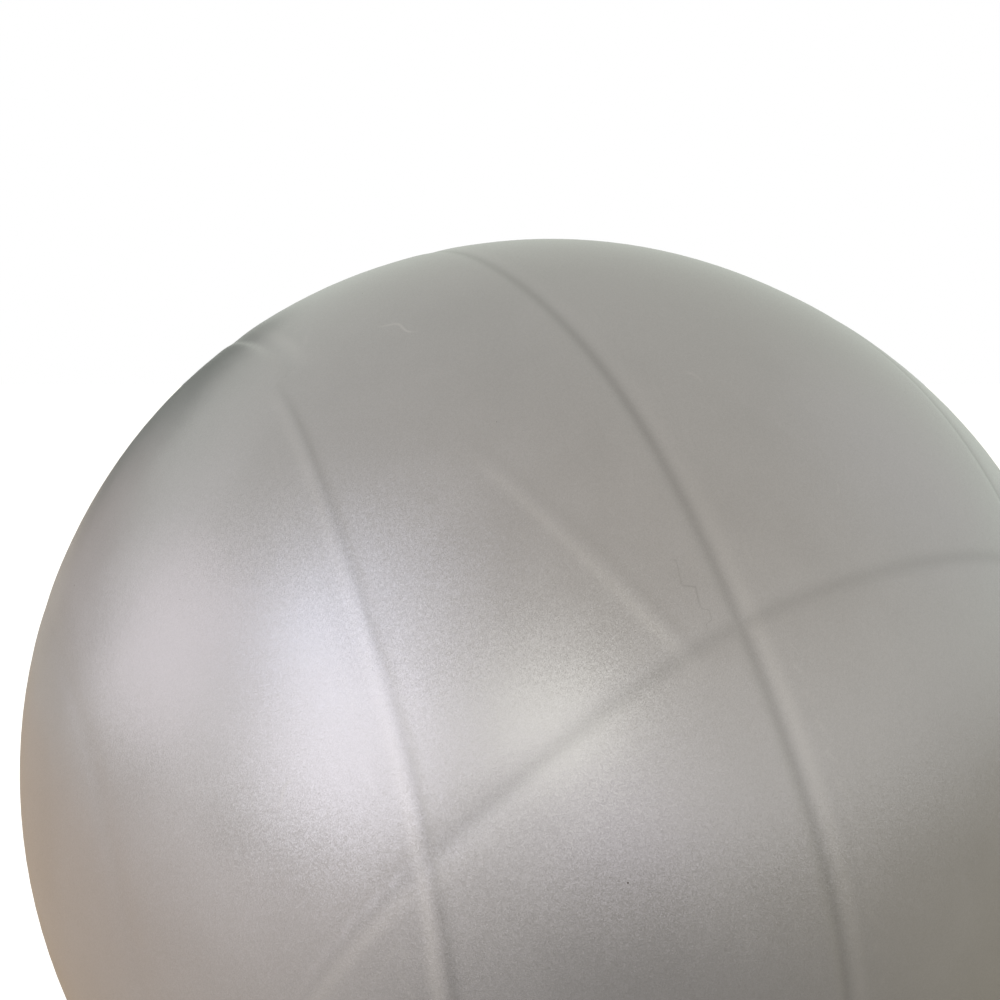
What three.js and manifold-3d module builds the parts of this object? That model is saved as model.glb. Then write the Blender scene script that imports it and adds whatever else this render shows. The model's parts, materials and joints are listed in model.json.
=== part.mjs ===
// Exercise ball: a thin soft-PVC ball with a bonded valve seat and a push-in plug.
// Millimetres, +Z up. The origin is the centre of the flat patch that the ball rests on.

import * as THREE from "three";
import { mergeVertices } from "three/addons/utils/BufferGeometryUtils.js";
import Module from "manifold-3d";

// ---- Driving dimensions ----
const BALL_DIAMETER = 650;
const WALL = 0.85;
const PATCH_RADIUS = 40; // the flat that an inflated ball makes on the floor under its own weight
const CLEARANCE = 0.3; // between pieces that touch

// The valve axis leaves the ball's centre towards the back, a little above the middle.
const VALVE_AZIMUTH = THREE.MathUtils.degToRad(110); // from +X towards +Y
const VALVE_ELEVATION = THREE.MathUtils.degToRad(12);

// Valve sizes. Heights are along the valve axis, from the ball's surface, outwards positive.
const BOSS = { radius: 19, top: 0.35, bottom: -2.65, bevel: 0.6 };
const SEAT = { radius: 9.6, boreRadius: 4, neckRadius: 7.6, tipRadius: 6.2, bottom: -25 };
const FLANGE = { radius: 14.5, thickness: 1.8 };
const HEAD = { radius: 7.6, recessDepth: 1.9, edge: 1.5, dome: 2.3, dishRadius: 4.4, dishDepth: 0.7 };
const STEM = { rootRadius: 3.5, tipRadius: 2.7, length: 27, tipChamfer: 1.4 };
const RIB = { radius: 3.7, swell: 2.4, step: 0.4, pitch: 6.5, first: 6, count: 3 };

// Facets
const BALL_SEGMENTS = 64; // round the vertical axis
const LOWER_RINGS = 14; // from the patch's edge to the ball's middle
const UPPER_RINGS = 15; // from the middle to the top
const VALVE_SEGMENTS = 40;

const ballRadius = BALL_DIAMETER / 2;
const centreHeight = Math.sqrt(ballRadius ** 2 - PATCH_RADIUS ** 2);

// ---- Solids ----
const solids = await Module();
solids.setup();

// A closed body of revolution about +Z. The outline is [radius, height] pairs,
// bottom to top along its outside.
function turned(outline, segments) {
  const points = outline.map(([radius, height]) => new THREE.Vector2(radius, height));
  return new THREE.LatheGeometry(points, segments).rotateX(Math.PI / 2);
}

function toSolid(geometry) {
  const bare = geometry.clone();
  bare.deleteAttribute("normal");
  bare.deleteAttribute("uv");
  const merged = mergeVertices(bare, 1e-3);
  return new solids.Manifold(
    new solids.Mesh({
      numProp: 3,
      vertProperties: new Float32Array(merged.attributes.position.array),
      triVerts: new Uint32Array(merged.index.array),
    }),
  );
}

function toGeometry(solid) {
  const mesh = solid.getMesh();
  const geometry = new THREE.BufferGeometry();
  geometry.setAttribute("position", new THREE.BufferAttribute(mesh.vertProperties, 3));
  geometry.setIndex(new THREE.BufferAttribute(mesh.triVerts, 1));
  geometry.computeVertexNormals();
  return geometry;
}

// ---- Valve frame: its own group, +Z outwards along the valve axis, origin on the ball's surface ----
const valveAxis = new THREE.Vector3(
  Math.cos(VALVE_ELEVATION) * Math.cos(VALVE_AZIMUTH),
  Math.cos(VALVE_ELEVATION) * Math.sin(VALVE_AZIMUTH),
  Math.sin(VALVE_ELEVATION),
);
const valve = new THREE.Group();
valve.position.set(0, 0, centreHeight).addScaledVector(valveAxis, ballRadius);
valve.quaternion.setFromUnitVectors(new THREE.Vector3(0, 0, 1), valveAxis);
valve.updateMatrix();

// ---- Ball shell ----
// The outline of a ball of this radius, centred at centreHeight, cut flat at the height floor.
function flattenedBall(radius, floor) {
  const outline = [[0, floor]];
  const pointAt = (angle) => [radius * Math.cos(angle), centreHeight + radius * Math.sin(angle)];
  const patchAngle = Math.asin((floor - centreHeight) / radius);
  for (let ring = 0; ring < LOWER_RINGS; ring++) {
    outline.push(pointAt(patchAngle * (1 - ring / LOWER_RINGS)));
  }
  for (let ring = 0; ring < UPPER_RINGS; ring++) {
    outline.push(pointAt(((Math.PI / 2) * ring) / UPPER_RINGS));
  }
  outline.push([0, centreHeight + radius]);
  return outline;
}

function ballShellGeometry() {
  const outside = toSolid(turned(flattenedBall(ballRadius, 0), BALL_SEGMENTS));
  const air = toSolid(turned(flattenedBall(ballRadius - WALL, WALL), BALL_SEGMENTS));
  const boss = toSolid(
    turned(
      [
        [0, BOSS.bottom],
        [BOSS.radius - BOSS.bevel, BOSS.bottom],
        [BOSS.radius, BOSS.bottom + BOSS.bevel],
        [BOSS.radius, BOSS.top - BOSS.bevel],
        [BOSS.radius - BOSS.bevel, BOSS.top],
        [0, BOSS.top],
      ],
      VALVE_SEGMENTS,
    ).applyMatrix4(valve.matrix),
  );
  const holeRadius = SEAT.radius + CLEARANCE;
  const hole = toSolid(
    turned(
      [
        [0, 2 * BOSS.bottom],
        [holeRadius, 2 * BOSS.bottom],
        [holeRadius, -2 * BOSS.bottom],
        [0, -2 * BOSS.bottom],
      ],
      VALVE_SEGMENTS,
    ).applyMatrix4(valve.matrix),
  );
  return toGeometry(outside.subtract(air).add(boss).subtract(hole));
}

// ---- Valve seat: soft insert with the head's recess, a flange inside the wall and the bore ----
function valveSeatGeometry() {
  const flangeTop = BOSS.bottom - CLEARANCE;
  const flangeBottom = flangeTop - FLANGE.thickness;
  const recessRadius = HEAD.radius + CLEARANCE;
  const recessFloor = BOSS.top - HEAD.recessDepth;
  return turned(
    [
      [SEAT.boreRadius, SEAT.bottom],
      [SEAT.tipRadius, SEAT.bottom],
      [SEAT.neckRadius, flangeBottom],
      [FLANGE.radius, flangeBottom],
      [FLANGE.radius, flangeTop],
      [SEAT.radius, flangeTop],
      [SEAT.radius, BOSS.top],
      [recessRadius, BOSS.top],
      [recessRadius, recessFloor],
      [SEAT.boreRadius, recessFloor],
      [SEAT.boreRadius, SEAT.bottom],
    ],
    VALVE_SEGMENTS,
  );
}

// ---- Valve plug: dished head on a tapered stem with push-in ribs ----
function stemRadius(depth) {
  return THREE.MathUtils.lerp(STEM.rootRadius, STEM.tipRadius, depth / STEM.length);
}

function valvePlugGeometry() {
  const seatLevel = BOSS.top - HEAD.recessDepth + CLEARANCE; // the underside of the head
  const outline = [
    [0, seatLevel - STEM.length],
    [STEM.tipRadius - STEM.tipChamfer / 2, seatLevel - STEM.length],
    [STEM.tipRadius, seatLevel - STEM.length + STEM.tipChamfer],
  ];
  // Each rib is a barb: it swells from the stem towards the head, then steps back in.
  for (let rib = RIB.count - 1; rib >= 0; rib--) {
    const depth = RIB.first + rib * RIB.pitch;
    outline.push(
      [stemRadius(depth + RIB.swell), seatLevel - depth - RIB.swell],
      [RIB.radius, seatLevel - depth],
      [stemRadius(depth), seatLevel - depth + RIB.step],
    );
  }
  outline.push(
    [STEM.rootRadius, seatLevel],
    [HEAD.radius, seatLevel],
    [HEAD.radius, seatLevel + HEAD.edge],
    [HEAD.dishRadius, seatLevel + HEAD.dome],
    [HEAD.dishRadius / 2, seatLevel + HEAD.dome - HEAD.dishDepth],
    [0, seatLevel + HEAD.dome - HEAD.dishDepth],
  );
  return turned(outline, VALVE_SEGMENTS);
}

// ---- Assembly ----
function part(name, geometry, material) {
  const mesh = new THREE.Mesh(geometry, new THREE.MeshStandardMaterial(material));
  mesh.name = name;
  return mesh;
}

const ball = new THREE.Group();
ball.add(part("ball_shell", ballShellGeometry(), { color: "#a9a8ab", roughness: 0.42, metalness: 0.35 }));

valve.add(
  part("valve_seat", valveSeatGeometry(), { color: "#98979a", roughness: 0.55, metalness: 0.1 }),
  part("valve_plug", valvePlugGeometry(), { color: "#ecebe6", roughness: 0.45, metalness: 0 }),
);
ball.add(valve);

export default ball;
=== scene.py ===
"""An inflated exercise ball: a thin pearl-grey skin with soft fold creases, and its valve."""

import json
import math
from typing import NamedTuple

import bmesh
import bpy
import numpy as np
from mathutils import Matrix, Vector


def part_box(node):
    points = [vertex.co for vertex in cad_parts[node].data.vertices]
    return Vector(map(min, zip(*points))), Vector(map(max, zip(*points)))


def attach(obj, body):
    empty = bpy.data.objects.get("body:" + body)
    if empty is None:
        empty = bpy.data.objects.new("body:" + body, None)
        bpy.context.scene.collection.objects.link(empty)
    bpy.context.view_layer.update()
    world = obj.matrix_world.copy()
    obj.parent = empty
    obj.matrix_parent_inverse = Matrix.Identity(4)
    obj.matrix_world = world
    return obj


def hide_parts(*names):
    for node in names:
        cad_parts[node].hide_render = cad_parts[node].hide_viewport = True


bl_info = {
    "name": "Exercise Ball",
    "version": (1, 0, 0),
    "blender": (4, 5, 0),
    "location": "3D View > Sidebar > Exercise Ball",
    "description": "Builds an inflated exercise ball with its valve, and a plain studio round it",
    "category": "Add Mesh",
}

# ---- The fixed frame ----
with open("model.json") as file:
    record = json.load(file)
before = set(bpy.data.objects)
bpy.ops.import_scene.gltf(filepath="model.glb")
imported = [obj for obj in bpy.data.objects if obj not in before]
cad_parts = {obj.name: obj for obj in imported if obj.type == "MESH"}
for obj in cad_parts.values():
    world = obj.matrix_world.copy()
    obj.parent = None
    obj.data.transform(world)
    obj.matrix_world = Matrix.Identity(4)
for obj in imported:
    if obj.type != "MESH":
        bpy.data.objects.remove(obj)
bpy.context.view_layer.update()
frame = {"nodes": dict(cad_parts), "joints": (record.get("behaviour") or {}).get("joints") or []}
MM = 0.001

shell_low, shell_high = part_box("ball_shell")
RADIUS = (shell_high.x - shell_low.x) / 2
CENTRE = Vector((0, 0, shell_high.z - RADIUS))

# The valve's own frame: +Z outwards along the plug's travel, origin on the ball's surface.
VALVE_AXIS = Vector(frame["joints"][0]["axis"]).normalized()
VALVE_FRAME = (
    Matrix.Translation(CENTRE + VALVE_AXIS * RADIUS)
    @ Vector((0, 0, 1)).rotation_difference(VALVE_AXIS).to_matrix().to_4x4()
)


class Reach(NamedTuple):
    """How low, how high and how wide a valve piece is about the valve axis."""

    low: float
    high: float
    width: float


def reach(node):
    to_valve = VALVE_FRAME.inverted()
    places = [to_valve @ vertex.co for vertex in frame["nodes"][node].data.vertices]
    heights = [place.z for place in places]
    return Reach(min(heights), max(heights), max(place.xy.length for place in places))


SEAT = reach("valve_seat")
PLUG = reach("valve_plug")
CLEARANCE = 0.3 * MM  # between the plug and the seat, and between the seat and the skin
BOSS_THICKNESS = 2.6 * MM  # depth of the hole's straight wall


# ---- Settings ----
class SkinSettings(bpy.types.PropertyGroup):
    """The ball's skin."""

    wall: bpy.props.FloatProperty(
        name="Wall", description="Thickness of the skin", default=0.85 * MM, unit="LENGTH"
    )
    fold_depth: bpy.props.FloatProperty(
        name="Fold depth",
        description="Depth of a full-strength fold crease",
        default=0.3 * MM,
        unit="LENGTH",
    )
    fold_width: bpy.props.FloatProperty(
        name="Fold width",
        description="From a crease's middle to where it has nearly faded",
        default=4.6 * MM,
        unit="LENGTH",
    )
    unevenness: bpy.props.FloatProperty(
        name="Unevenness",
        description="How far the skin swells and dips between the creases",
        default=0.7 * MM,
        unit="LENGTH",
    )
    colour: bpy.props.FloatVectorProperty(
        name="Colour",
        description="Base colour of the pearl skin",
        default=(0.42, 0.42, 0.44),
        size=3,
        min=0,
        max=1,
        subtype="COLOR",
    )
    flake_size: bpy.props.FloatProperty(
        name="Flake size", description="Width of one pearl flake", default=0.42 * MM, unit="LENGTH"
    )


class ValveSettings(bpy.types.PropertyGroup):
    """The valve seat and its plug."""

    bore: bpy.props.FloatProperty(
        name="Bore", description="Radius of the air hole", default=4 * MM, unit="LENGTH"
    )
    seat_radius: bpy.props.FloatProperty(
        name="Seat radius",
        description="Radius of the seat where it shows in the skin",
        default=9.6 * MM,
        unit="LENGTH",
    )
    boss_radius: bpy.props.FloatProperty(
        name="Boss radius",
        description="Radius of the thickened skin round the seat",
        default=19 * MM,
        unit="LENGTH",
    )
    recess: bpy.props.FloatProperty(
        name="Recess", description="Depth of the plug head's recess", default=1.9 * MM, unit="LENGTH"
    )
    seat_colour: bpy.props.FloatVectorProperty(
        name="Seat colour",
        description="Colour of the soft insert",
        default=(0.30, 0.30, 0.32),
        size=3,
        min=0,
        max=1,
        subtype="COLOR",
    )
    plug_colour: bpy.props.FloatVectorProperty(
        name="Plug colour",
        description="Colour of the push-in plug",
        default=(0.80, 0.79, 0.76),
        size=3,
        min=0,
        max=1,
        subtype="COLOR",
    )


class StageSettings(bpy.types.PropertyGroup):
    """The studio: camera, floor and lights."""

    camera_place: bpy.props.FloatVectorProperty(
        name="Camera place",
        description="Where the camera stands",
        default=(-0.030, -0.761, 0.616),
        size=3,
        subtype="TRANSLATION",
    )
    camera_tilt: bpy.props.FloatProperty(
        name="Camera tilt",
        description="How far the camera looks down",
        default=math.radians(10),
        subtype="ANGLE",
    )
    lens: bpy.props.FloatProperty(
        name="Lens", description="Focal length, in millimetres", default=43.2
    )
    floor_size: bpy.props.FloatProperty(
        name="Floor size", description="Width of the floor", default=14, unit="LENGTH"
    )


def settings():
    return bpy.context.scene.exercise_ball


# ---- Fold creases ----
class Fold(NamedTuple):
    """A crease that the ball kept from its box: part of a circle round an axis through its centre."""

    azimuth: float  # the axis's direction, in degrees from +X towards +Y
    elevation: float  # and above the horizon
    offset: float  # the circle's distance from the centre along the axis, as a share of the radius
    middle: float  # where on the circle the crease is deepest, in degrees from its highest point
    spread: float  # how far it runs to each side of there, in degrees
    depth: float  # as a share of the full fold depth, negative where it stands up as a ridge
    width: float  # as a share of the full fold width
    lean: float  # how much wider the axis's side is than the other, from -1 to 1, and how strong the painted highlight along that side is
    mark: float  # how dark the painted shade along its line is, as a share of the full mark


# The ball was folded in two directions to fit its box.
LENGTHWISE_FOLDS = (
    Fold(-156, -9.4, 0.063, -5, 62, 1.1, 1.1, -0.15, 1.25),
    Fold(-156, -9.4, 0.063, -105, 62, 1.2, 1.0, -0.5, 1.0),
    Fold(-156.7, -6.2, 0.515, -54, 42, -0.6, 0.8, 0.3, 0.7),
    Fold(-156.7, -6.2, 0.515, -118, 64, -0.5, 0.9, 0.6, 0.15),
    Fold(-156, -8, 0.87, -60, 110, 0.7, 1.6, 0.0, 0.1),
    Fold(-156, -9.4, -0.555, -62, 64, 1.2, 0.8, 0.0, 1.6),
    Fold(-156, -8, -0.45, 150, 75, 0.8, 1.1, -0.3, 0.7),
    # A pucker, and a slanting crease from handling
    Fold(-156.7, -6.2, 0.49, 4, 26, 2.4, 1.2, -0.5, 0.0),
    Fold(-150, -33.7, 0.0, -46, 14, -0.5, 0.8, 0.4, 0.0),
)
CROSSWISE_FOLDS = (
    Fold(-56.6, -26.7, 0.527, 12, 60, 1.0, 1.4, 0.0, 0.75),
    Fold(-56.6, -26.7, 0.527, 100, 58, -0.6, 0.9, 0.6, 0.2),
    Fold(-58, -25, -0.47, 150, 80, 0.8, 1.1, 0.3, 0.6),
    Fold(-58, -25, -0.85, 180, 130, 0.6, 1.2, 0.0, 0.4),
    # Slanting creases from handling
    Fold(140, 30, 0.45, 100, 30, 0.4, 1.3, 0.0, 0.3),
    Fold(60, -20, 0.6, -120, 35, 0.45, 1.2, 0.0, 0.3),
)
FOLDS = LENGTHWISE_FOLDS + CROSSWISE_FOLDS
MARK_REACH = (14 * MM, 19 * MM)  # a fold's mark fades out between these distances from it

# A fold's cross-section, as shares of its groove's width and depth
SHOULDER_PLACE = 2.6
SHOULDER_WIDTH = 1.5
SHOULDER_HEIGHT = 0.28
DIP_WIDTH = 7
DIP_DEPTH = 0.5


def unit(azimuth, elevation):
    """The direction at an azimuth and elevation in degrees."""
    turn, rise = math.radians(azimuth), math.radians(elevation)
    return np.array([math.cos(rise) * math.cos(turn), math.cos(rise) * math.sin(turn), math.sin(rise)])


def smoothstep(low, high, values):
    t = np.clip((values - low) / (high - low), 0, 1)
    return t * t * (3 - 2 * t)


def across_fold(fold, directions):
    """(signed distance across the fold, angle along it) of each direction from the centre.

    A real crease isn't quite a circle, so the line wanders a little to both sides.
    """
    axis = unit(fold.azimuth, fold.elevation)
    up = np.array([0, 0, 1]) - axis[2] * axis
    up /= np.linalg.norm(up)
    side = np.cross(axis, up)
    along = np.arctan2(directions @ side, directions @ up)
    across = np.arcsin(np.clip(directions @ axis, -1, 1)) - math.asin(fold.offset)
    broad_wander = 0.006 * np.sin(3 * along + 5 * fold.offset)
    fine_wander = 0.003 * np.sin(8 * along + 9 * fold.offset)
    return RADIUS * (across + broad_wander + fine_wander), along


def fold_strength(fold, along):
    """1 in the fold's middle, fading out to 0 at its ends."""
    from_middle = np.abs((along - math.radians(fold.middle) + math.pi) % (2 * math.pi) - math.pi)
    end = math.radians(fold.spread)
    rippled = 0.86 + 0.14 * np.sin(5 * along + 7 * fold.offset)
    return rippled * (1 - smoothstep(0.55 * end, end, from_middle))


def fold_height(fold, directions, depth, width):
    """A soft groove with a low shoulder on each side, in a shallow broader dip."""
    across, along = across_fold(fold, directions)
    depth = depth * fold.depth * fold_strength(fold, along)
    width = width * fold.width * (1 + fold.lean * np.tanh(2 * across / (width * fold.width)))
    groove = np.exp(-((across / width) ** 2))
    from_shoulder = np.abs(across) - SHOULDER_PLACE * width
    shoulder = np.exp(-((from_shoulder / (SHOULDER_WIDTH * width)) ** 2))
    dip = np.exp(-((across / (DIP_WIDTH * width)) ** 2))
    return depth * (SHOULDER_HEIGHT * shoulder - groove - DIP_DEPTH * dip)


def fold_marking(folds, directions):
    """What the material needs at each direction about the fold there.

    That is the signed distance to it, as if the fold had the full width, the strength of the
    painted shade along its line, and the signed strength of the painted highlight on its leaning side.
    """
    strongest, distance, mark, band = np.zeros((4, len(directions)))
    for fold in folds:
        across, along = across_fold(fold, directions)
        strength = fold_strength(fold, along) * (1 - smoothstep(*MARK_REACH, np.abs(across)))
        distance = np.where(strength > strongest, across / fold.width, distance)
        strongest = np.maximum(strongest, strength)
        mark += fold.mark * strength
        band += fold.lean * strength
    return distance, mark, band


# ---- The skin's shape ----
class Bulge(NamedTuple):
    """A broad swelling of the ball, or a hollow where its height is negative."""

    azimuth: float  # its middle, in degrees from +X towards +Y
    elevation: float
    reach: float  # how far it spreads from there, in degrees
    height: float


# No blown ball is quite round.
BULGES = (
    Bulge(-16, 30, 38, 5.2 * MM),
    Bulge(-167, 30, 45, 1.1 * MM),
    Bulge(0, 90, 42, -1.5 * MM),
)
WAVES = 26  # plane waves in the unevenness
VALVE_CALM = (24 * MM, 60 * MM)  # creases and swells fade in between these distances from the valve
PATCH_BEND = 0.8 * MM  # height of the soft bend at the edge of the flat that the ball rests on


def swells(directions, size):
    """Smooth unevenness of a blown skin: many faint waves in seeded directions."""
    random = np.random.default_rng(12)
    height = np.zeros(len(directions))
    for _ in range(WAVES):
        way = random.normal(size=3)
        way /= np.linalg.norm(way)
        waves_across = random.uniform(1.5, 9)
        phase = random.uniform(0, 2 * math.pi)
        height += np.cos(waves_across * 2 * (directions @ way) + phase) / waves_across
    return size * height / math.sqrt(WAVES)


def out_of_round(directions):
    """How far the broad bulges and hollows lift each direction's point."""
    height = np.zeros(len(directions))
    for bulge in BULGES:
        towards = directions @ unit(bulge.azimuth, bulge.elevation)
        angle = np.degrees(np.arccos(np.clip(towards, -1, 1)))
        height += bulge.height * (1 - smoothstep(0, bulge.reach, angle))
    return height


def from_valve(directions):
    """Distance of each direction's surface point from the valve axis, and large behind the centre."""
    along = directions @ np.array(VALVE_AXIS)
    sideways = RADIUS * np.sqrt(np.clip(1 - along**2, 0, None))
    return np.where(along > 0, sideways, 2 * RADIUS)


def boss_height(distance, valve):
    """The thick skin round the seat: a flat face that rolls over into the ball."""
    shoulder = 3.2 * MM
    face = SEAT.high + distance**2 / (2 * RADIUS)
    inside = 1 - smoothstep(valve.boss_radius - shoulder, valve.boss_radius + 2 * shoulder, distance)
    return face * inside


def rest_on_floor(points):
    """Flattens what would lie below the floor, with a soft bend at the patch's edge."""
    z = points[:, 2]
    bent = (np.clip(z, -PATCH_BEND, PATCH_BEND) + PATCH_BEND) ** 2 / (4 * PATCH_BEND)
    eased = np.where(z < PATCH_BEND, bent, z)
    return np.column_stack([points[:, :2], eased])


def skin_points(directions):
    """Points of the ball's outside in these directions from its centre."""
    skin, valve = settings().skin, settings().valve
    distance = from_valve(directions)
    height = swells(directions, skin.unevenness) + out_of_round(directions)
    for fold in FOLDS:
        height += fold_height(fold, directions, skin.fold_depth, skin.fold_width)
    height *= smoothstep(*VALVE_CALM, distance)
    height += boss_height(distance, valve)
    return rest_on_floor(np.array(CENTRE) + directions * (RADIUS + height)[:, None])


def store_fold_marks(mesh, directions):
    """Keeps on the mesh where its folds are, for the material. X is lengthwise and Y crosswise."""
    calm = smoothstep(*VALVE_CALM, from_valve(directions))
    stored = {name: np.zeros((len(mesh.vertices), 3)) for name in ("across", "line", "band")}
    for column, folds in enumerate((LENGTHWISE_FOLDS, CROSSWISE_FOLDS)):
        distance, mark, band = fold_marking(folds, directions)
        for name, values in (("across", distance), ("line", mark * calm), ("band", band * calm)):
            stored[name][: len(directions), column] = values
    for name, values in stored.items():
        attribute = mesh.attributes.new(f"fold_{name}", "FLOAT_VECTOR", "POINT")
        attribute.data.foreach_set("vector", values.ravel())


def skin_normals(directions):
    """Outward normals of the skin, from its slope to each side."""
    step = 0.2 * MM / RADIUS
    other = np.where(np.abs(directions[:, 2:]) < 0.9, [[0, 0, 1]], [[1, 0, 0]])
    east = np.cross(other, directions)
    east /= np.linalg.norm(east, axis=1, keepdims=True)
    north = np.cross(directions, east)
    slopes = []
    for way in (east, north):
        ahead, behind = (directions + sign * step * way for sign in (1, -1))
        ahead /= np.linalg.norm(ahead, axis=1, keepdims=True)
        behind /= np.linalg.norm(behind, axis=1, keepdims=True)
        slopes.append(skin_points(ahead) - skin_points(behind))
    normals = np.cross(*slopes)
    return normals / np.linalg.norm(normals, axis=1, keepdims=True)


# ---- The skin's mesh ----
COARSE_SUBDIVISIONS = 6
REFINEMENTS = (22 * MM, 13 * MM)  # each level splits the edges nearer than this to a crease
FADED = 0.02  # a crease weaker than this needs no finer mesh
VALVE_RINGS = 14  # rings of faces from the ball's own mesh in to the valve's hole
RINGS_START = (9 * MM, 7 * MM)  # beyond the boss: where the ball's own mesh ends, and the first ring
HOLE_EDGE = 0.5 * MM  # radius of the rolled edge of the valve's hole


def feature_distance(directions):
    """Distance of each direction's surface point from the nearest crease or from the valve boss."""
    nearest = np.clip(from_valve(directions) - settings().valve.boss_radius, 0, None)
    for fold in FOLDS:
        across, along = across_fold(fold, directions)
        faded = fold_strength(fold, along) < FADED
        nearest = np.minimum(nearest, np.abs(across) + np.where(faded, RADIUS, 0))
    return nearest


def directions_of(elements):
    return np.array([element.normalized() for element in elements])


def refined_ball():
    """A unit ball of triangles that is finer along the creases and round the valve."""
    ball = bmesh.new()
    bmesh.ops.create_icosphere(ball, subdivisions=COARSE_SUBDIVISIONS, radius=1)
    for near in REFINEMENTS:
        edges = list(ball.edges)
        middles = directions_of([(e.verts[0].co + e.verts[1].co) / 2 for e in edges])
        close = feature_distance(middles) < near
        chosen = [edge for edge, pick in zip(edges, close) if pick]
        bmesh.ops.subdivide_edges(ball, edges=chosen, cuts=1, use_grid_fill=True)
        for vertex in ball.verts:
            vertex.co.normalize()
    bmesh.ops.triangulate(ball, faces=ball.faces[:])
    return ball


def ring_point(azimuth, radius, height=None):
    """A point of the valve's rings, in the row frame. Without a height it lies on the plain ball."""
    if height is None:
        height = math.sqrt(RADIUS**2 - radius**2) - RADIUS
    return VALVE_FRAME @ Vector((radius * math.cos(azimuth), radius * math.sin(azimuth), height))


def open_for_valve(ball, radius):
    """Takes away the faces inside a circle round the valve axis and returns the rim's edges."""
    axis_angle = math.asin(radius / RADIUS)
    inside = [f for f in ball.faces if f.calc_center_median().angle(VALVE_AXIS) < axis_angle]
    bmesh.ops.delete(ball, geom=inside, context="FACES")
    rim = [edge for edge in ball.edges if edge.is_boundary]
    for vertex in {v for edge in rim for v in edge.verts}:
        place = ring_point(azimuth_of(CENTRE + vertex.co * RADIUS), radius)
        vertex.co = (place - CENTRE).normalized()
    return rim


def azimuth_of(place):
    local = VALVE_FRAME.inverted() @ place
    return math.atan2(local.y, local.x)


def grow_ring(ball, rim, place_of):
    """Extrudes the rim into a new ring and puts each new vertex where place_of says."""
    grown = bmesh.ops.extrude_edge_only(ball, edges=rim)["geom"]
    for vertex in (g for g in grown if isinstance(g, bmesh.types.BMVert)):
        vertex.co = place_of(vertex.co)
    return [g for g in grown if isinstance(g, bmesh.types.BMEdge) and g.is_boundary]


def skin_mesh(skin, valve):
    """The skin as a closed thin wall, with a hole where the valve seat sits."""
    ball = refined_ball()
    hole = valve.seat_radius + CLEARANCE
    mesh_end, first_ring = (valve.boss_radius + beyond for beyond in RINGS_START)
    rim = open_for_valve(ball, mesh_end)
    for radius in np.linspace(first_ring, hole + HOLE_EDGE, VALVE_RINGS):

        def on_ball(direction):
            place = ring_point(azimuth_of(CENTRE + direction * RADIUS), radius)
            return (place - CENTRE).normalized()

        rim = grow_ring(ball, rim, on_ball)
    ball.verts.ensure_lookup_table()
    directions = directions_of([vertex.co for vertex in ball.verts])
    outside, normals = skin_points(directions), skin_normals(directions)
    for vertex, place in zip(ball.verts, outside):
        vertex.co = place
    # The hole's edge rolls over into its wall.
    steps = []
    for turn in (math.radians(30), math.radians(60), math.radians(90)):
        inwards, down = HOLE_EDGE * (1 - math.sin(turn)), HOLE_EDGE * (1 - math.cos(turn))
        steps.append((hole + inwards, SEAT.high - down))
    steps.append((hole, SEAT.high - BOSS_THICKNESS))
    for radius, height in steps:
        rim = grow_ring(ball, rim, lambda place: ring_point(azimuth_of(place), radius, height))
    ball.normal_update()
    ball.verts.ensure_lookup_table()
    extra = ball.verts[len(outside):]
    outside = np.vstack([outside, [tuple(vertex.co) for vertex in extra]])
    normals = np.vstack([normals, [tuple(vertex.normal) for vertex in extra]])
    faces = [[v.index for v in face.verts] for face in ball.faces]
    rim_pairs = [
        (loop.vert.index, loop.link_loop_next.vert.index)
        for edge in rim
        for loop in edge.link_loops
    ]
    ball.free()
    mesh = closed_wall(outside, normals, faces, rim_pairs, skin.wall)
    store_fold_marks(mesh, directions)
    return mesh


def closed_wall(outside, normals, faces, rim_pairs, wall):
    """A mesh of the outside, an inside one wall below it, and a strip that joins them at the rim."""
    count = len(outside)
    inside = outside - normals * wall
    inner_faces = [[i + count for i in reversed(face)] for face in faces]
    strip = [[b, a, a + count, b + count] for a, b in rim_pairs]
    mesh = bpy.data.meshes.new("ball_skin")
    mesh.from_pydata(np.vstack([outside, inside]).tolist(), [], faces + inner_faces + strip)
    mesh.shade_smooth()
    mesh.normals_split_custom_set_from_vertices(np.vstack([normals, -normals]).tolist())
    return mesh


# ---- Turned pieces ----
CORNER_STEPS = 4
TURNED_SEGMENTS = 96


def rounded(outline, radius):
    """The outline with each inner corner eased by up to this radius."""
    points = [Vector(p) for p in outline]
    eased = [points[0]]
    for before, corner, after in zip(points, points[1:], points[2:]):
        cut = min(radius, (before - corner).length / 2, (after - corner).length / 2)
        start = corner + (before - corner).normalized() * cut
        end = corner + (after - corner).normalized() * cut
        for step in range(CORNER_STEPS + 1):
            t = step / CORNER_STEPS
            eased.append(start * (1 - t) ** 2 + corner * 2 * t * (1 - t) + end * t**2)
    return eased + [points[-1]]


def turned(name, outline):
    """A body of revolution about the valve axis. It is closed at the axis or back on itself."""
    body = bmesh.new()
    rings = []
    for radius, height in outline:
        if radius < 1e-6:
            rings.append([body.verts.new(VALVE_FRAME @ Vector((0, 0, height)))])
        else:
            angles = [2 * math.pi * i / TURNED_SEGMENTS for i in range(TURNED_SEGMENTS)]
            rings.append([body.verts.new(ring_point(a, radius, height)) for a in angles])
    for lower, upper in zip(rings, rings[1:]):
        for i in range(TURNED_SEGMENTS):
            j = (i + 1) % TURNED_SEGMENTS
            around = [lower[i % len(lower)], lower[j % len(lower)]]
            around += [upper[j % len(upper)], upper[i % len(upper)]]
            body.faces.new(dict.fromkeys(around))
    bmesh.ops.remove_doubles(body, verts=body.verts[:], dist=1e-7)
    bmesh.ops.recalc_face_normals(body, faces=body.faces[:])
    mesh = bpy.data.meshes.new(name)
    body.to_mesh(mesh)
    body.free()
    mesh.shade_smooth()
    return mesh


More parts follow.
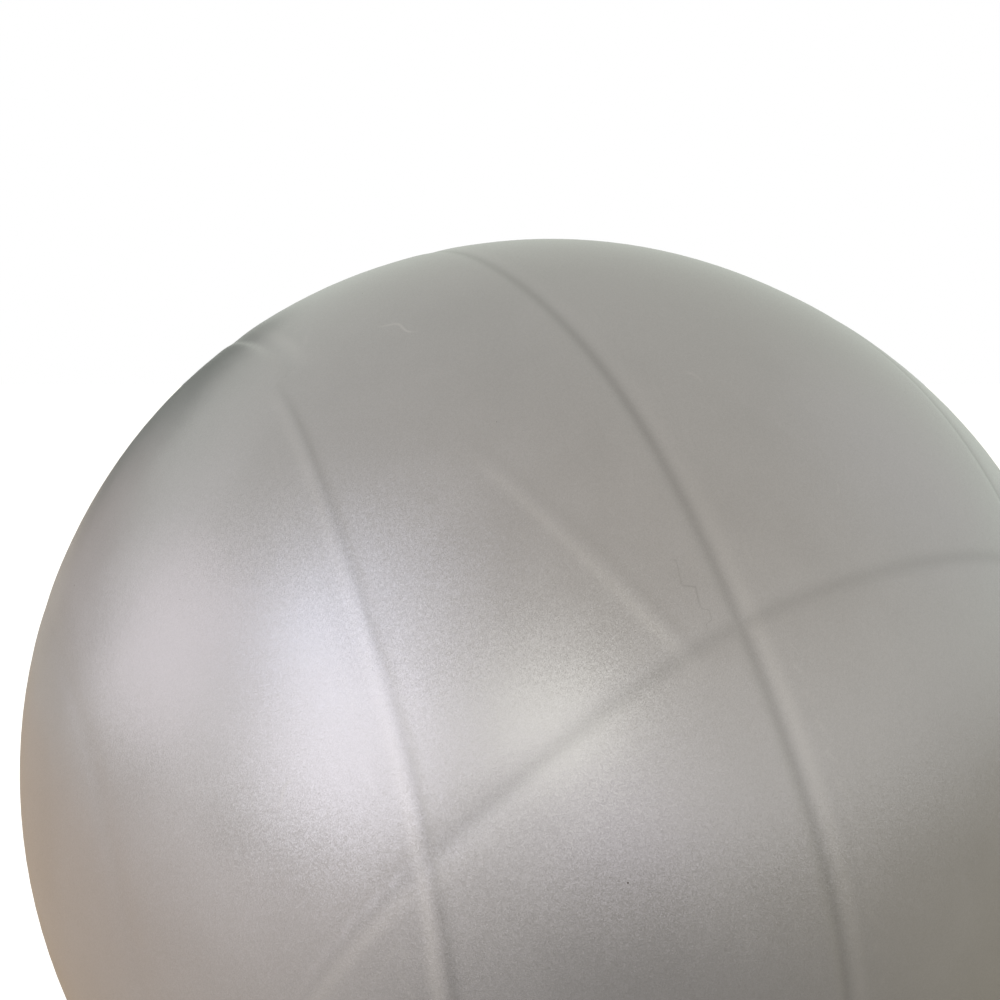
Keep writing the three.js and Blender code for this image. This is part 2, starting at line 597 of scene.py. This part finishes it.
def place_piece(name, mesh, material, body, node):
    """Puts a finished mesh into the scene in place of its CAD node."""
    mesh.materials.append(material)
    piece = bpy.data.objects.new(name, mesh)
    bpy.context.scene.collection.objects.link(piece)
    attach(piece, body)
    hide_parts(node)


# ---- Shader helpers ----
class Nodes:
    """A short way to write a node tree."""

    def __init__(self, tree):
        self.tree = tree

    def add(self, kind, values=None, **options):
        node = self.tree.nodes.new(kind)
        for name, value in options.items():
            setattr(node, name, value)
        for name, value in (values or {}).items():
            socket = node.inputs[name]
            if isinstance(value, bpy.types.NodeSocket):
                self.tree.links.new(value, socket)
            else:
                socket.default_value = value
        return node

    def math(self, operation, a, b=0.0):
        return self.add("ShaderNodeMath", {0: a, 1: b}, operation=operation).outputs[0]

    def vector(self, operation, a, b=(0, 0, 0)):
        return self.add("ShaderNodeVectorMath", {0: a, 1: b}, operation=operation).outputs[0]

    def scaled(self, vector, scale):
        node = self.add("ShaderNodeVectorMath", {0: vector, "Scale": scale}, operation="SCALE")
        return node.outputs[0]

    def spread(self, value, low, high, to_low=0.0, to_high=1.0):
        values = {"Value": value, "From Min": low, "From Max": high, "To Min": to_low, "To Max": to_high}
        return self.add("ShaderNodeMapRange", values, interpolation_type="SMOOTHSTEP").outputs[0]

    def noise(self, place, scale, detail=2.0, roughness=0.5):
        values = {"Vector": place, "Scale": scale, "Detail": detail, "Roughness": roughness}
        return self.add("ShaderNodeTexNoise", values).outputs[0]

    def mix(self, factor, a, b, blend="MIX"):
        node = self.add("ShaderNodeMix", {"Factor": factor}, data_type="RGBA", blend_type=blend)
        for socket, value in ((node.inputs[6], a), (node.inputs[7], b)):
            if isinstance(value, bpy.types.NodeSocket):
                self.tree.links.new(value, socket)
            else:
                socket.default_value = (*value[:3], 1)
        return node.outputs[2]


def node_group(name, inputs, outputs):
    """A new shader node group: (its tree, its writer, the values it takes, the sockets it fills)."""
    tree = bpy.data.node_groups.new(name, "ShaderNodeTree")
    for label, default in inputs.items():
        socket = tree.interface.new_socket(label, in_out="INPUT", socket_type="NodeSocketFloat")
        socket.default_value = default
    for label, kind in outputs.items():
        tree.interface.new_socket(label, in_out="OUTPUT", socket_type=kind)
    nodes = Nodes(tree)
    taken = nodes.add("NodeGroupInput").outputs
    given = nodes.add("NodeGroupOutput").inputs
    return tree, nodes, taken, given


def moulded_grain_group():
    """The faint orange-peel of a moulded skin, as a height in metres."""
    tree, nodes, taken, given = node_group(
        "moulded grain", {"Grain size": MM, "Depth": 0.02 * MM}, {"Height": "NodeSocketFloat"}
    )
    place = nodes.add("ShaderNodeTexCoord").outputs["Object"]
    per_metre = nodes.math("DIVIDE", 1.0, taken["Grain size"])
    fine = nodes.noise(place, per_metre)
    broad = nodes.noise(place, nodes.math("MULTIPLY", per_metre, 0.18), 1.0)
    both = nodes.math("ADD", fine, broad)
    tree.links.new(nodes.math("MULTIPLY", both, taken["Depth"]), given["Height"])
    return tree


def handling_group():
    """What use leaves on a plastic surface: scuffs, dust and faint smears."""
    tree, nodes, taken, given = node_group(
        "handling",
        {"Patch size": 0.1},
        {"Scuff": "NodeSocketFloat", "Dust": "NodeSocketFloat", "Smear": "NodeSocketFloat"},
    )
    place = nodes.add("ShaderNodeTexCoord").outputs["Object"]
    per_metre = nodes.math("DIVIDE", 1.0, taken["Patch size"])
    spots = nodes.add("ShaderNodeTexVoronoi", {"Vector": place, "Scale": per_metre}).outputs
    chosen = nodes.add("ShaderNodeSeparateColor", {0: spots["Color"]}).outputs[0]
    in_spot = nodes.spread(spots["Distance"], 0.12, 0.2, 1.0, 0.0)
    where = nodes.math("MULTIPLY", in_spot, nodes.math("GREATER_THAN", chosen, 0.5))
    bends = nodes.noise(place, nodes.math("MULTIPLY", per_metre, 1.8), 1.0)
    from_bend = nodes.math("ABSOLUTE", nodes.math("SUBTRACT", bends, 0.5))
    lines = nodes.spread(from_bend, 0.003, 0.008, 1.0, 0.0)
    specks_per_metre = nodes.math("MULTIPLY", per_metre, 2.4)
    cells = nodes.add("ShaderNodeTexVoronoi", {"Vector": place, "Scale": specks_per_metre})
    smear = nodes.noise(place, nodes.math("MULTIPLY", per_metre, 0.9), 3.0, 0.6)
    tree.links.new(nodes.math("MULTIPLY", where, lines), given["Scuff"])
    tree.links.new(nodes.math("LESS_THAN", cells.outputs["Distance"], 0.013), given["Dust"])
    tree.links.new(smear, given["Smear"])
    return tree


def pearl_group():
    """Pearl pigment: flakes that each lie at a slightly different tilt."""
    tree, nodes, taken, given = node_group(
        "pearl flakes",
        {"Flake size": MM, "Tilt": 0.1},
        {"Normal": "NodeSocketVector", "Shade": "NodeSocketFloat"},
    )
    place = nodes.add("ShaderNodeTexCoord").outputs["Object"]
    per_metre = nodes.math("DIVIDE", 1.0, taken["Flake size"])
    cells = nodes.add("ShaderNodeTexVoronoi", {"Vector": place, "Scale": per_metre})
    away = nodes.vector("SUBTRACT", cells.outputs["Color"], (0.5, 0.5, 0.5))
    shade = nodes.add("ShaderNodeTexWhiteNoise", {"Vector": cells.outputs["Color"]}).outputs["Value"]
    surface = nodes.add("ShaderNodeNewGeometry").outputs["Normal"]
    tilted = nodes.vector("ADD", surface, nodes.scaled(away, taken["Tilt"]))
    tree.links.new(nodes.vector("NORMALIZE", tilted), given["Normal"])
    tree.links.new(shade, given["Shade"])
    return tree


def shared(name, make):
    """A node group that is built once and then used again."""
    return bpy.data.node_groups.get(name) or make()


def new_material(name):
    material = bpy.data.materials.new(name)
    material.use_nodes = True
    nodes = Nodes(material.node_tree)
    return material, nodes, material.node_tree.nodes["Principled BSDF"]


def join(nodes, shader, links):
    for name, socket in links.items():
        nodes.tree.links.new(socket, shader.inputs[name])


# ---- Materials ----
# Painted highlight along one side of each crease
PAINTED_CREASE_HIGHLIGHT = (0.75, 0.75, 0.75)
# Painted shade along each crease's line
PAINTED_CREASE_SHADE = (0.12, 0.12, 0.12)
SCUFF_GREY = (0.62, 0.62, 0.62)
DUST = (0.09, 0.08, 0.07)
GRUBBY = (0.45, 0.42, 0.38)

# Places across a fold of its painted shade and painted highlight, as shares of its width
CREASE_SHADE_WIDTH = 0.6
CREASE_HIGHLIGHT_PLACE = 1.5
CREASE_HIGHLIGHT_WIDTH = 0.8


def moulded(nodes, grain_size, depth, handling_size):
    """(height of the moulded grain, what handling left) for one material."""
    grain = nodes.add("ShaderNodeGroup", node_tree=shared("moulded grain", moulded_grain_group))
    grain.inputs["Grain size"].default_value = grain_size
    grain.inputs["Depth"].default_value = depth
    handled = nodes.add("ShaderNodeGroup", node_tree=shared("handling", handling_group))
    handled.inputs["Patch size"].default_value = handling_size
    return grain.outputs["Height"], handled.outputs


def bell(nodes, distance, width):
    """1 where the distance is zero, falling away on both sides."""
    share = nodes.math("DIVIDE", distance, width)
    return nodes.math("EXPONENT", nodes.math("MULTIPLY", nodes.math("MULTIPLY", share, share), -1.0))


def fold_lines(nodes, skin):
    """(painted shade along the line, painted highlight band beside it) along the folds, from what the
    mesh keeps about them.
    """

    def kept(name):
        vector = nodes.add("ShaderNodeAttribute", attribute_name=name).outputs["Vector"]
        return nodes.add("ShaderNodeSeparateXYZ", {0: vector}).outputs

    across, line, band = kept("fold_across"), kept("fold_line"), kept("fold_band")
    painted_shade, painted_highlight = [], []
    for way in "XY":
        # Painted shade along the crease's line
        on_line = bell(nodes, across[way], CREASE_SHADE_WIDTH * skin.fold_width)
        painted_shade.append(nodes.math("MULTIPLY", on_line, line[way]))
        # Painted highlight on the side that the crease leans to
        towards_band = nodes.math("MULTIPLY", across[way], nodes.math("SIGN", band[way]))
        from_band = nodes.math("SUBTRACT", towards_band, CREASE_HIGHLIGHT_PLACE * skin.fold_width)
        on_band = bell(nodes, from_band, CREASE_HIGHLIGHT_WIDTH * skin.fold_width)
        painted_highlight.append(nodes.math("MULTIPLY", on_band, nodes.math("ABSOLUTE", band[way])))
    return nodes.math("MAXIMUM", *painted_shade), nodes.math("MAXIMUM", *painted_highlight)


def pearl_skin_material(skin):
    """Pearl-grey soft plastic, with painted shade and painted highlight along its folds."""
    material, nodes, shader = new_material("pearl_skin")
    flakes = nodes.add("ShaderNodeGroup", node_tree=shared("pearl flakes", pearl_group))
    flakes.inputs["Flake size"].default_value = skin.flake_size
    flakes.inputs["Tilt"].default_value = 0.13
    grain, handled = moulded(nodes, 3.5 * MM, 0.012 * MM, 80 * MM)
    bump = nodes.add(
        "ShaderNodeBump", {"Height": grain, "Distance": 1.0, "Normal": flakes.outputs["Normal"]}
    )
    shade = nodes.spread(flakes.outputs["Shade"], 0.0, 1.0, 0.96, 1.04)
    clouded = nodes.spread(handled["Smear"], 0.3, 0.7, 0.97, 1.03)
    level = nodes.math("MULTIPLY", shade, clouded)
    grey = nodes.add("ShaderNodeCombineColor", {0: level, 1: level, 2: level}).outputs[0]
    colour = nodes.mix(1.0, skin.colour, grey, "MULTIPLY")
    colour = nodes.mix(nodes.math("MULTIPLY", handled["Scuff"], 0.35), colour, SCUFF_GREY)
    colour = nodes.mix(nodes.math("MULTIPLY", handled["Dust"], 0.8), colour, DUST)
    painted_shade, painted_highlight = fold_lines(nodes, skin)
    # Painted highlight lightens the colour beside each crease
    colour = nodes.mix(nodes.math("MULTIPLY", painted_highlight, 0.28), colour, PAINTED_CREASE_HIGHLIGHT)
    # Painted shade darkens the colour along each crease's line
    colour = nodes.mix(nodes.math("MULTIPLY", painted_shade, 0.27), colour, PAINTED_CREASE_SHADE)
    rough = nodes.spread(handled["Smear"], 0.3, 0.7, 0.36, 0.42)
    rough = nodes.math("ADD", rough, nodes.math("MULTIPLY", handled["Scuff"], 0.2))
    join(nodes, shader, {"Base Color": colour, "Roughness": rough, "Normal": bump.outputs[0]})
    shader.inputs["Metallic"].default_value = 0.6
    shader.inputs["Coat Weight"].default_value = 0.4
    shader.inputs["Coat Roughness"].default_value = 0.22
    shader.inputs["Coat IOR"].default_value = 1.5
    return material


def soft_insert_material(valve):
    """Matt grey rubbery plastic."""
    material, nodes, shader = new_material("soft_insert")
    grain, handled = moulded(nodes, 0.5 * MM, 0.03 * MM, 12 * MM)
    bump = nodes.add("ShaderNodeBump", {"Height": grain, "Distance": 1.0})
    darker, lighter = ([share * c for c in valve.seat_colour] for share in (0.85, 1.12))
    clouded = nodes.mix(handled["Smear"], darker, lighter)
    rough = nodes.spread(handled["Smear"], 0.3, 0.7, 0.48, 0.6)
    join(nodes, shader, {"Base Color": clouded, "Roughness": rough, "Normal": bump.outputs[0]})
    return material


def plug_material(valve):
    """Off-white hard plastic that lets a little light in."""
    material, nodes, shader = new_material("plug_plastic")
    grain, handled = moulded(nodes, 0.35 * MM, 0.015 * MM, 8 * MM)
    bump = nodes.add("ShaderNodeBump", {"Height": grain, "Distance": 1.0})
    darker = [0.93 * c for c in valve.plug_colour]
    clouded = nodes.mix(handled["Smear"], darker, valve.plug_colour)
    grubby = nodes.mix(nodes.math("MULTIPLY", handled["Scuff"], 0.3), clouded, GRUBBY)
    rough = nodes.spread(handled["Smear"], 0.3, 0.7, 0.36, 0.46)
    join(nodes, shader, {"Base Color": grubby, "Roughness": rough, "Normal": bump.outputs[0]})
    shader.inputs["Subsurface Weight"].default_value = 0.12
    shader.inputs["Subsurface Scale"].default_value = 2 * MM
    return material


# ---- Pieces ----
def build_skin():
    skin, valve = settings().skin, settings().valve
    mesh = skin_mesh(skin, valve)
    place_piece("ball_skin", mesh, pearl_skin_material(skin), "ball", "ball_shell")


def build_seat():
    valve = settings().valve
    head_recess = PLUG.width + CLEARANCE
    recess_floor = SEAT.high - valve.recess
    flange_top = SEAT.high - 3.3 * MM
    flange_bottom = flange_top - 1.8 * MM
    neck, tip = 7.6 * MM, 6.2 * MM
    # The outline starts and ends inside the bore, so that the tip's corners are rounded too.
    in_bore = SEAT.low + 1 * MM
    outline = [
        (valve.bore, in_bore),
        (valve.bore, SEAT.low),
        (tip, SEAT.low),
        (neck, flange_bottom),
        (SEAT.width, flange_bottom),
        (SEAT.width, flange_top),
        (valve.seat_radius, flange_top),
        (valve.seat_radius, SEAT.high),
        (head_recess, SEAT.high),
        (head_recess, recess_floor),
        (valve.bore, recess_floor),
        (valve.bore, in_bore),
    ]
    mesh = turned("valve_insert", rounded(outline, 0.45 * MM))
    place_piece("valve_insert", mesh, soft_insert_material(valve), "ball", "valve_seat")


def build_plug():
    valve = settings().valve
    under_head = SEAT.high - valve.recess + CLEARANCE
    length = under_head - PLUG.low
    root, tip = 3.5 * MM, 2.7 * MM
    tip_chamfer = 1.4 * MM
    rib_radius, rib_swell, rib_step = 3.7 * MM, 2.4 * MM, 0.4 * MM
    rib_pitch, first_rib, ribs = 6.5 * MM, 6 * MM, 3

    def stem(depth):
        return root + (tip - root) * depth / length

    outline = [(0, PLUG.low), (tip - tip_chamfer / 2, PLUG.low), (tip, PLUG.low + tip_chamfer)]
    for rib in reversed(range(ribs)):
        depth = first_rib + rib * rib_pitch
        outline += [
            (stem(depth + rib_swell), under_head - depth - rib_swell),
            (rib_radius, under_head - depth),
            (stem(depth), under_head - depth + rib_step),
        ]
    # The head is domed, with a dish for the finger and a gate mark in its middle.
    edge_top = under_head + 1.5 * MM
    dish, dish_bottom, dish_floor = 4.4 * MM, 2.6 * MM, PLUG.high - 0.7 * MM
    gate_bottom, gate, gate_top = 0.7 * MM, 0.5 * MM, dish_floor + 0.25 * MM
    outline += [
        (root, under_head),
        (PLUG.width, under_head),
        (PLUG.width, edge_top),
        (dish, PLUG.high),
        (dish_bottom, dish_floor),
        (gate_bottom, dish_floor),
        (gate, gate_top),
        (0, gate_top),
    ]
    mesh = turned("push_plug", rounded(outline, 0.4 * MM))
    place_piece("push_plug", mesh, plug_material(valve), "plug", "valve_plug")


# ---- Stage ----
def build_camera(stage):
    camera = bpy.data.objects.new("camera", bpy.data.cameras.new("camera"))
    camera.location = stage.camera_place
    camera.rotation_euler = (math.pi / 2 - stage.camera_tilt, 0, 0)
    camera.data.lens = stage.lens
    bpy.context.scene.collection.objects.link(camera)
    bpy.context.scene.camera = camera


def build_floor(stage):
    mesh = bpy.data.meshes.new("floor")
    half = stage.floor_size / 2
    corners = [(-half, -half, 0), (half, -half, 0), (half, half, 0), (-half, half, 0)]
    mesh.from_pydata(corners, [], [(0, 1, 2, 3)])
    material, nodes, shader = new_material("studio_floor")
    # What the ball reflects: boards, paler on the left where painted window light falls, a rug behind
    # and a painted shadow in front.
    where = nodes.add("ShaderNodeTexCoord").outputs["Object"]
    parts = nodes.add("ShaderNodeSeparateXYZ", {0: where}).outputs
    # Painted light: the boards grow paler towards the left, where window light falls on them
    left = nodes.spread(parts["X"], -0.8, 0.1, 1.0, 0.0)
    boards = nodes.mix(left, (0.46, 0.43, 0.35), (0.72, 0.65, 0.58))
    behind = nodes.add("ShaderNodeVectorMath", {0: where, 1: (-0.9, 0.45, 0)}, operation="DISTANCE")
    rug = nodes.spread(behind.outputs["Value"], 0.5, 1.2, 1.0, 0.0)
    boards = nodes.mix(rug, boards, (0.66, 0.50, 0.34))
    # Painted shadow: a dark patch on the floor in front of the ball
    away = nodes.add("ShaderNodeVectorMath", {0: where, 1: (0.2, -1.1, 0)}, operation="DISTANCE")
    painted_shadow = nodes.spread(away.outputs["Value"], 0.4, 0.9, 0.75, 0.0)
    boards = nodes.mix(painted_shadow, boards, (0.03, 0.03, 0.03))
    join(nodes, shader, {"Base Color": boards})
    shader.inputs["Roughness"].default_value = 0.7
    # What is looked at: plain white, which only the ball's shadow darkens.
    paint = nodes.add("ShaderNodeBsdfDiffuse", {"Color": (0.8, 0.8, 0.8, 1)}).outputs[0]
    glow = nodes.add("ShaderNodeEmission", {"Color": (1, 1, 1, 1), "Strength": 0.68}).outputs[0]
    white = nodes.add("ShaderNodeAddShader", {0: paint, 1: glow}).outputs[0]
    looked_at = nodes.add("ShaderNodeLightPath").outputs["Is Camera Ray"]
    mixed = nodes.add("ShaderNodeMixShader", {0: looked_at, 1: shader.outputs[0], 2: white})
    nodes.tree.links.new(mixed.outputs[0], nodes.tree.nodes["Material Output"].inputs[0])
    mesh.materials.append(material)
    floor = bpy.data.objects.new("floor", mesh)
    bpy.context.scene.collection.objects.link(floor)


class Patch(NamedTuple):
    """A soft-edged part of the room that the ball reflects."""

    name: str
    azimuth: float  # degrees, 0 is over the camera and positive is to its right
    elevation: float
    inner: float  # full strength inside this angle from the patch's middle, in degrees
    outer: float  # nothing past this angle
    colour: tuple


PATCHES = (
    Patch("doorway", -147, 6, 12, 19, (0.0, 0.03, 0.01)),
    Patch("wooden_wall", -126, -3, 8, 26, (0.40, 0.34, 0.30)),
    Patch("far_window", 9, -1, 6, 22, (1.38, 1.27, 1.38)),
    Patch("side_doorway", 36, -5, 3, 14, (1.5, 1.44, 1.4)),
    Patch("bookcase", 85, -2, 3, 24, (0.78, 0.76, 0.70)),
    Patch("pale_wall", 112, 29, 6, 24, (0.84, 0.83, 0.79)),
)


def build_backdrop():
    """A white studio to look at, and a room for the ball to reflect."""
    world = bpy.data.worlds.new("studio")
    world.use_nodes = True
    nodes = Nodes(world.node_tree)
    nodes.tree.nodes.clear()
    way = nodes.add("ShaderNodeTexCoord").outputs["Generated"]
    parts = nodes.add("ShaderNodeSeparateXYZ", {0: way}).outputs
    height = nodes.spread(parts["Z"], 0.0, 0.8)
    depth = nodes.spread(parts["Y"], -0.7, 0.7)
    walls = nodes.mix(depth, (1.11, 1.07, 0.97), (0.83, 0.90, 0.81))
    ceiling = nodes.mix(depth, (0.56, 0.50, 0.40), (0.61, 0.61, 0.54))
    room = nodes.mix(height, walls, ceiling)
    for patch in PATCHES:
        middle = tuple(unit(patch.azimuth - 90, patch.elevation))
        towards = nodes.add(
            "ShaderNodeVectorMath", {0: way, 1: middle}, operation="DOT_PRODUCT", label=patch.name
        )
        outer, inner = (math.cos(math.radians(angle)) for angle in (patch.outer, patch.inner))
        room = nodes.mix(nodes.spread(towards.outputs["Value"], outer, inner), room, patch.colour)
    looked_at = nodes.add("ShaderNodeLightPath").outputs["Is Camera Ray"]
    colour = nodes.mix(looked_at, room, (1, 1, 1))
    background = nodes.add("ShaderNodeBackground", {"Color": colour, "Strength": 1.0})
    output = nodes.add("ShaderNodeOutputWorld")
    nodes.tree.links.new(background.outputs[0], output.inputs[0])
    bpy.context.scene.world = world


class Lamp(NamedTuple):
    """A square soft light that faces the ball's centre."""

    name: str
    azimuth: float  # degrees, 0 is over the camera and positive is to its right
    elevation: float
    size: float
    power: float
    colour: tuple


LAMP_DISTANCE = 2.4  # from the ball's centre
LAMPS = (
    Lamp("window", -38, 14, 1.2, 10, (0.92, 0.89, 1.0)),
    Lamp("window_top", -45, 38, 1.3, 4.6, (0.82, 0.85, 1.0)),
    Lamp("side_window", -85, 16, 1.2, 3.9, (1.0, 0.84, 0.98)),
    Lamp("cool_lamp", -54, 32, 0.5, 2.3, (0.75, 0.80, 1.0)),
    Lamp("warm_lamp", 0, 23, 0.75, 4.6, (0.99, 1.0, 0.9)),
)


def build_lamps():
    for lamp in LAMPS:
        data = bpy.data.lights.new(lamp.name, "AREA")
        data.shape, data.size = "SQUARE", lamp.size
        data.energy, data.color = lamp.power, lamp.colour
        light = bpy.data.objects.new(lamp.name, data)
        away = Vector(unit(lamp.azimuth - 90, lamp.elevation))
        light.location = CENTRE + away * LAMP_DISTANCE
        light.rotation_euler = away.to_track_quat("Z", "Y").to_euler()
        light.visible_camera = False
        bpy.context.scene.collection.objects.link(light)


# ---- Operators ----
class EXERCISE_BALL_OT_skin(bpy.types.Operator):
    """Build the ball's thin skin with its fold creases"""

    bl_idname = "exercise_ball.skin"
    bl_label = "Ball skin"

    def execute(self, context):
        build_skin()
        return {"FINISHED"}


class EXERCISE_BALL_OT_seat(bpy.types.Operator):
    """Build the soft valve seat"""

    bl_idname = "exercise_ball.seat"
    bl_label = "Valve seat"

    def execute(self, context):
        build_seat()
        return {"FINISHED"}


class EXERCISE_BALL_OT_plug(bpy.types.Operator):
    """Build the push-in valve plug"""

    bl_idname = "exercise_ball.plug"
    bl_label = "Valve plug"

    def execute(self, context):
        build_plug()
        return {"FINISHED"}


class EXERCISE_BALL_OT_stage(bpy.types.Operator):
    """Build the camera, the floor, the backdrop and the lights"""

    bl_idname = "exercise_ball.stage"
    bl_label = "Studio"

    def execute(self, context):
        stage = settings().stage
        build_camera(stage)
        build_floor(stage)
        build_backdrop()
        build_lamps()
        context.scene.view_settings.view_transform = "Standard"
        return {"FINISHED"}


class BallSettings(bpy.types.PropertyGroup):
    """Everything that a user would change."""

    skin: bpy.props.PointerProperty(name="Skin", description="The ball's skin", type=SkinSettings)
    valve: bpy.props.PointerProperty(
        name="Valve", description="The valve seat and its plug", type=ValveSettings
    )
    stage: bpy.props.PointerProperty(
        name="Stage", description="The camera, floor and lights", type=StageSettings
    )


class EXERCISE_BALL_PT_panel(bpy.types.Panel):
    """The sidebar's list of what can be built"""

    bl_idname = "EXERCISE_BALL_PT_panel"
    bl_label = "Exercise Ball"
    bl_space_type = "VIEW_3D"
    bl_region_type = "UI"
    bl_category = "Exercise Ball"

    def draw(self, context):
        for operator in OPERATORS:
            self.layout.operator(operator.bl_idname)
        for group in (settings().skin, settings().valve, settings().stage):
            box = self.layout.box()
            for name in group.__annotations__:
                box.prop(group, name)


OPERATORS = (
    EXERCISE_BALL_OT_stage,
    EXERCISE_BALL_OT_skin,
    EXERCISE_BALL_OT_seat,
    EXERCISE_BALL_OT_plug,
)
CLASSES = (SkinSettings, ValveSettings, StageSettings, BallSettings, *OPERATORS, EXERCISE_BALL_PT_panel)


def register():
    for each in CLASSES:
        bpy.utils.register_class(each)
    bpy.types.Scene.exercise_ball = bpy.props.PointerProperty(
        name="Exercise ball", description="Sizes and colours of the exercise ball", type=BallSettings
    )


def unregister():
    del bpy.types.Scene.exercise_ball
    for each in reversed(CLASSES):
        bpy.utils.unregister_class(each)


def main():
    register()
    bpy.ops.exercise_ball.stage()
    bpy.ops.exercise_ball.skin()
    bpy.ops.exercise_ball.seat()
    bpy.ops.exercise_ball.plug()


if __name__ == "__main__":
    main()
